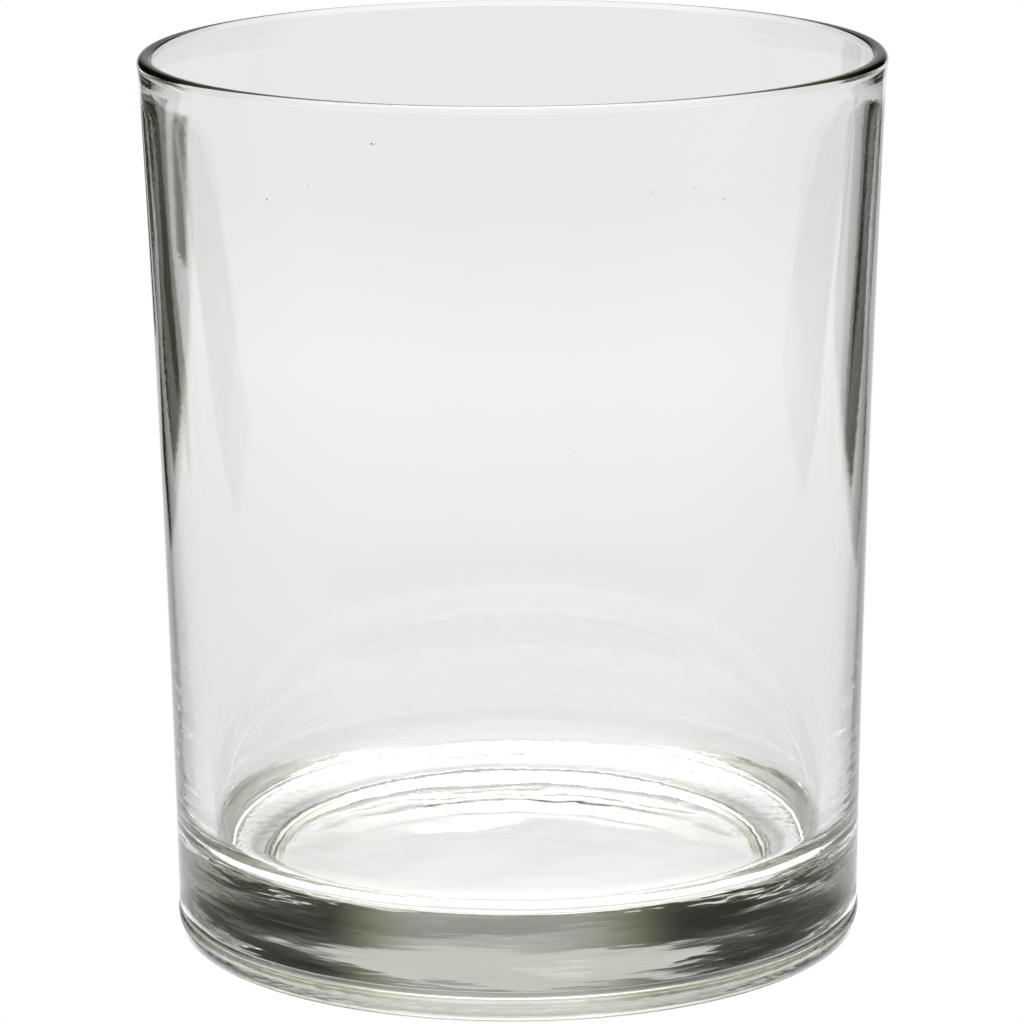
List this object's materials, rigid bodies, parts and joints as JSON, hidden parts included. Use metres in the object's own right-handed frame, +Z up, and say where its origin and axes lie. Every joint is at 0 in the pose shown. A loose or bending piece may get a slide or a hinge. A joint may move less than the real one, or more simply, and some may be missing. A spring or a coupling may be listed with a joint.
{
  "type": "candle jar",
  "caption": "Clear pressed-glass candle jar: round, open at the top, slightly flared wall, beaded lip, thick flat floor and a footed base to stand on.",
  "frame": {"origin": "centre of the base, on the surface that the jar stands on", "axes": "+Z up the jar's axis to its open mouth; the jar is round, so X and Y are free"},
  "size_m": [0.08, 0.08, 0.0965],
  "materials": {
    "clear_glass": "fire-polished clear soda-lime glass"
  },
  "bodies": {
    "root": {"glass_jar": "clear_glass"}
  },
  "joints": []
}
